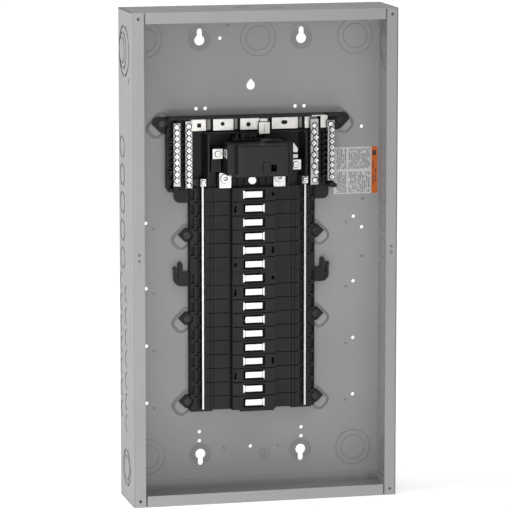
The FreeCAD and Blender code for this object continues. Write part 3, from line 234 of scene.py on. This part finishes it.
def painted_steel():
    """Light grey baked enamel: faint clouding and fine orange peel, with painted shade on the pad slopes,
    the keyhole discs, the sunk lines and the rims of the side cuts.
    """
    finish = Finish("painted_steel", 0.5, specular=0.35)
    clouds = finish.noise(9.0, 4.0)
    paint = finish.ramp(clouds, [(0.3, (0.295, 0.296, 0.297)), (0.7, (0.318, 0.319, 0.32))])
    # Painted shade: faces tilted part way from the front, the slopes of the pressed pads, are darkened
    # towards grey 0.24.
    not_square = finish.math("SUBTRACT", 1.0, finish.frontal(0.88, 0.98))
    slope = finish.math("MULTIPLY", finish.frontal(0.5, 0.7), not_square)
    slope_shaded = finish.blend(slope, paint, grey(0.24))
    # Painted shade: the dished discs round the keyholes are darkened towards grey 0.2.
    walls = finish.blend(finish.math("MULTIPLY", keyhole_discs(finish), 0.55), slope_shaded, grey(0.2))
    # Painted shade: the sunk lines and the rims of the side cuts are darkened to grey 0.05.
    lines = finish.math("MINIMUM", finish.crevices(1.6 * MM, 0.1, 0.6), side_rims(finish))
    finish.colour(finish.blend(lines, grey(0.05), walls))
    peel = finish.noise(1400.0, 2.0)
    finish.bump(peel, 0.12, 0.0002)
    finish.roughness(finish.noise(300.0, 3.0), 0.44, 0.58)
    return finish.material


def moulded_black(name, base, low_rough, high_rough, grain, corner=0.002):
    """Black thermoplastic: a spark-eroded grain with slight flow clouding, and painted shade deep black
    in its corners.
    """
    finish = Finish(name, low_rough, specular=0.22)
    flow = finish.noise(35.0, 3.0, place=finish.stretched((1.0, 1.0, 0.5)))
    surface = finish.ramp(flow, [(0.3, grey(base * 0.85)), (0.7, grey(base * 1.2))])
    # Painted shade: where the surface is closed in, the colour falls to the corner tone.
    finish.colour(finish.blend(finish.crevices(4.0 * MM, 0.4, 0.85), grey(corner), surface))
    texture = finish.noise(grain, 2.0)
    finish.bump(texture, 0.2, 0.00015)
    finish.roughness(texture, low_rough, high_rough)
    return finish.material


def plated(name, low, high, low_rough, high_rough, streak=(1.0, 1.0, 1.0), tint=(1.0, 1.0, 1.0), edge=0.3,
           reach=2.2, dip_depth=None):
    """Plated or bare metal: streaks along the direction it was worked, with painted shade on faces turned
    from the front and in corners.

    A dip depth, in millimetres, paints shade onto the parts of the crossover strap that lie closer to the
    back than that, and with them onto the deep feet and the webs of the neutral rails.
    """
    finish = Finish(name, low_rough, metallic=1.0)
    place = finish.stretched(streak)
    wear = finish.noise(120.0, 4.0, place=place)
    dark = tuple(low * part for part in tint)
    bright = tuple(high * part for part in tint)
    metal = finish.ramp(wear, [(0.25, dark), (0.75, bright)])
    # Painted shade: faces turned from the front take the darkest tone times edge.
    shaded_sides = tuple(low * edge * part for part in tint)
    if dip_depth:
        # Painted shade: below the strap the side faces, the rail webs, are near black.
        upper = finish.math("GREATER_THAN", finish.axis("Z"), STRAP_FLOOR_Z * MM)
        webs = tuple(low * 0.05 * part for part in tint)
        shaded_sides = finish.blend(upper, webs, shaded_sides)
    faces = finish.blend(finish.frontal(0.55, 0.95), shaded_sides, metal)
    # Painted shade: parts closer to the back than the dip depth take the shaded side tone.
    if dip_depth:
        raised = finish.math("MULTIPLY", upper, (RAIL_SHADE_DEPTH - dip_depth) * MM)
        behind = finish.math("SUBTRACT", finish.axis("Y"), raised)
        deep = finish.math("GREATER_THAN", behind, -RAIL_SHADE_DEPTH * MM)
        faces = finish.blend(deep, faces, shaded_sides)
    # Painted shade: where the metal is closed in by other parts within the reach, it darkens to grey
    # 0.02.
    finish.colour(finish.blend(finish.crevices(reach * MM), grey(0.02), faces))
    scratches = finish.noise(1500.0, 2.0, place=place)
    finish.bump(scratches, 0.1, 0.0001)
    finish.roughness(wear, high_rough, low_rough)
    return finish.material


def label_paper():
    """Coated label stock: blocks of unreadable grey lines, with a plain orange band down one edge."""
    finish = Finish("label_paper", 0.55)
    low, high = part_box("wiring_label")
    across = finish.math("DIVIDE", finish.math("SUBTRACT", finish.axis("X"), low.x), high.x - low.x)
    up = finish.math("DIVIDE", finish.math("SUBTRACT", finish.axis("Z"), low.z), high.z - low.z)

    def inside(value, start, stop):
        above = finish.math("GREATER_THAN", value, start)
        below = finish.math("LESS_THAN", value, stop)
        return finish.math("MULTIPLY", above, below)

    def patch(left, right, bottom, top):
        return finish.math("MULTIPLY", inside(across, left, right), inside(up, bottom, top))

    text_columns = 22.0
    part_way = finish.math("FRACT", finish.math("MULTIPLY", across, text_columns))
    columns = finish.math("GREATER_THAN", part_way, 0.4)
    speckle = finish.noise(480.0, 1.0, place=finish.stretched((1.0, 1.0, 0.5)))
    words = finish.math("GREATER_THAN", speckle, 0.43)
    text = finish.math("MULTIPLY", columns, words)
    blocks = None
    for bounds in ((0.07, 0.3, 0.02, 0.47), (0.34, 0.84, 0.02, 0.47), (0.07, 0.3, 0.53, 0.97),
                   (0.34, 0.84, 0.53, 0.97)):
        area = patch(*bounds)
        blocks = area if blocks is None else finish.math("MAXIMUM", blocks, area)
    printed = finish.math("MULTIPLY", finish.math("MULTIPLY", text, blocks), 0.85)
    paper = finish.ramp(finish.noise(60.0, 2.0), [(0.3, grey(0.53)), (0.7, grey(0.58))])
    page = finish.blend(printed, paper, grey(0.1))
    band_start, orange = 0.86, (0.58, 0.12, 0.011)
    band = finish.blend(inside(across, band_start, 1.1), page, orange)
    badge = patch(0.885, 0.965, 0.81, 0.92)
    lines = finish.math("MAXIMUM", patch(0.885, 0.915, 0.14, 0.68), patch(0.94, 0.968, 0.24, 0.58))
    heading = finish.math("MULTIPLY", finish.math("MULTIPLY", lines, words), 0.85)
    finish.colour(finish.blend(finish.math("MAXIMUM", badge, heading), band, grey(0.03)))
    finish.bump(finish.noise(2500.0, 1.0), 0.05, 0.0001)
    return finish.material


MATERIALS = {
    "painted_steel": painted_steel(),
    "black_moulding": moulded_black("black_moulding", 0.014, 0.42, 0.55, 2600.0),
    "cover_moulding": moulded_black("cover_moulding", 0.015, 0.34, 0.46, 2200.0, 0.006),
    "tin_plate": plated("tin_plate", 0.56, 0.72, 0.26, 0.4, tint=(1.0, 0.98, 0.94), edge=0.3, reach=4.0,
                        dip_depth=14.0),
    "aluminium_bar": plated("aluminium_bar", 0.36, 0.5, 0.3, 0.45, (1.0, 1.0, 0.08), reach=3.0),
    "bus_aluminium": plated("bus_aluminium", 0.72, 0.88, 0.3, 0.42, (0.1, 1.0, 1.0)),
    "screw_steel": plated("screw_steel", 0.66, 0.84, 0.22, 0.38),
    "end_screw_steel": plated("end_screw_steel", 0.6, 0.8, 0.2, 0.34),
    "black_screw": plated("black_screw", 0.03, 0.06, 0.3, 0.45, reach=3.0),
    "lug_aluminium": plated("lug_aluminium", 0.66, 0.82, 0.32, 0.46, (1.0, 1.0, 0.15), reach=3.6),
    "bracket_steel": plated("bracket_steel", 0.5, 0.68, 0.3, 0.44, (0.2, 1.0, 1.0)),
    "label_paper": label_paper(),
}


# ---------------------------------------------------------------- softened copies of the CAD pieces

def clean_copy(node):
    """The mesh of a CAD node with its split corners welded."""
    mesh = frame["nodes"][node].data.copy()
    work = bmesh.new()
    work.from_mesh(mesh)
    bmesh.ops.remove_doubles(work, verts=work.verts, dist=0.002 * MM)
    work.to_mesh(mesh)
    work.free()
    return mesh


def soften(node, width, angle):
    """Replace a CAD node by a copy whose sharp edges are rounded, as pressed or moulded edges are.

    Width is in millimetres. Edges that turn by less than the angle, in degrees, are shaded smooth.
    """
    mesh = clean_copy(node)
    mesh.shade_smooth()
    mesh.set_sharp_from_angle(angle=math.radians(angle))
    piece = bpy.data.objects.new(node + "_soft", mesh)
    bpy.context.scene.collection.objects.link(piece)
    rounding = piece.modifiers.new("rounding", "BEVEL")
    rounding.width = width * MM
    rounding.segments = 2
    rounding.limit_method = "ANGLE"
    rounding.angle_limit = math.radians(angle)
    rounding.use_clamp_overlap = True
    rounding.miter_outer = "MITER_ARC"
    rounding.harden_normals = True
    weighting = piece.modifiers.new("weighting", "WEIGHTED_NORMAL")
    weighting.mode = "FACE_AREA"
    weighting.keep_sharp = True
    bpy.context.view_layer.update()
    ready = bpy.data.meshes.new_from_object(piece.evaluated_get(bpy.context.evaluated_depsgraph_get()))
    piece.modifiers.clear()
    piece.data = ready
    ready.materials.clear()
    ready.materials.append(MATERIALS[SLOT_OF[node]])
    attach(piece, BODY_OF[node])
    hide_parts(node)


ROUNDING = {
    "painted_steel": 0.2, "black_moulding": 0.25, "cover_moulding": 0.8, "tin_plate": 0.25,
    "aluminium_bar": 0.25, "bus_aluminium": 0.25, "screw_steel": 0.2, "end_screw_steel": 0.35,
    "black_screw": 0.3, "lug_aluminium": 0.5, "bracket_steel": 0.2, "label_paper": 0.05,
}
SHARP_ANGLE = {"painted_steel": 24.0}   # the pressed pads of the box have shallow slopes
USUAL_SHARP_ANGLE = 38.0

for node_name in sorted(frame["nodes"]):
    slot_name = SLOT_OF[node_name]
    soften(node_name, ROUNDING[slot_name], SHARP_ANGLE.get(slot_name, USUAL_SHARP_ANGLE))


# ---------------------------------------------------------------- stage, light and camera

def make_floor():
    """A plain pale floor under the box, wide enough to fill the view."""
    bpy.ops.mesh.primitive_plane_add(size=60.0, location=(0.0, 0.0, cad_box[0][2]))
    floor = bpy.context.object
    floor.name = "floor"
    finish = Finish("floor_paint", 0.8, specular=0.1)
    finish.colour(finish.ramp(finish.noise(0.6, 1.0), [(0.3, grey(0.93)), (0.7, grey(0.95))]))
    # A little light of its own keeps the floor as pale as the sky behind it.
    finish.shader.inputs["Emission Color"].default_value = (1.0, 1.0, 1.0, 1.0)
    finish.shader.inputs["Emission Strength"].default_value = 0.5
    floor.data.materials.append(finish.material)


def make_world(level):
    """Even studio light from all round."""
    world = bpy.data.worlds.new("studio")
    world.use_nodes = True
    background = world.node_tree.nodes["Background"]
    background.inputs["Color"].default_value = (1.0, 1.0, 1.0, 1.0)
    background.inputs["Strength"].default_value = level
    bpy.context.scene.world = world


def make_flag(place, width, height):
    """A black card beside the box that keeps stray light off its right side."""
    bpy.ops.mesh.primitive_plane_add(size=1.0, location=place, rotation=(0.0, math.pi / 2, 0.0))
    flag = bpy.context.object
    flag.name = "flag"
    flag.scale = (height, width, 1.0)
    finish = Finish("flag_cloth", 0.9, specular=0.05)
    finish.colour(finish.ramp(finish.noise(40.0, 2.0), [(0.3, grey(0.01)), (0.7, grey(0.02))]))
    flag.data.materials.append(finish.material)


def softbox(name, place, target, width, height, power):
    """A rectangular area light aimed at a point. The power is in watts."""
    light = bpy.data.lights.new(name, "AREA")
    light.shape = "RECTANGLE"
    light.size = width
    light.size_y = height
    light.energy = power
    lamp = bpy.data.objects.new(name, light)
    lamp.location = place
    lamp.rotation_euler = (Vector(target) - Vector(place)).to_track_quat("-Z", "Y").to_euler()
    bpy.context.scene.collection.objects.link(lamp)


def make_camera():
    """A long lens from the left of the front and a little above."""
    azimuth, elevation = math.radians(-13.285), math.radians(9.048)
    distance = 4.7262
    target = Vector((0.0082, 0.0, -0.0116))
    towards = Vector((math.sin(azimuth) * math.cos(elevation), -math.cos(azimuth) * math.cos(elevation),
                      math.sin(elevation)))
    lens = bpy.data.cameras.new("view")
    lens.sensor_width = 36.0
    lens.lens = 244.47
    lens.clip_end = 200.0
    camera = bpy.data.objects.new("view", lens)
    camera.location = target + distance * towards
    camera.rotation_euler = (-towards).to_track_quat("-Z", "Y").to_euler()
    bpy.context.scene.collection.objects.link(camera)
    bpy.context.scene.camera = camera


make_floor()
make_flag((0.44, -0.5, 0.0), 1.0, 1.2)
make_world(0.6)
softbox("key", (-2.4, -0.8, 0.9), (0.0, 0.0, 0.0), 1.0, 1.6, 22.0)
softbox("fill", (-0.4, -3.6, 0.35), (0.0, 0.0, -0.15), 1.6, 1.6, 19.8)
softbox("high", (0.2, -1.5, 2.6), (0.0, 0.0, -0.33), 1.2, 0.6, 9.0)
softbox("low", (-0.25, -1.3, -0.24), (0.0, 0.0, -0.28), 0.5, 0.12, 2.8)
make_camera()
bpy.context.scene.view_settings.view_transform = "Standard"
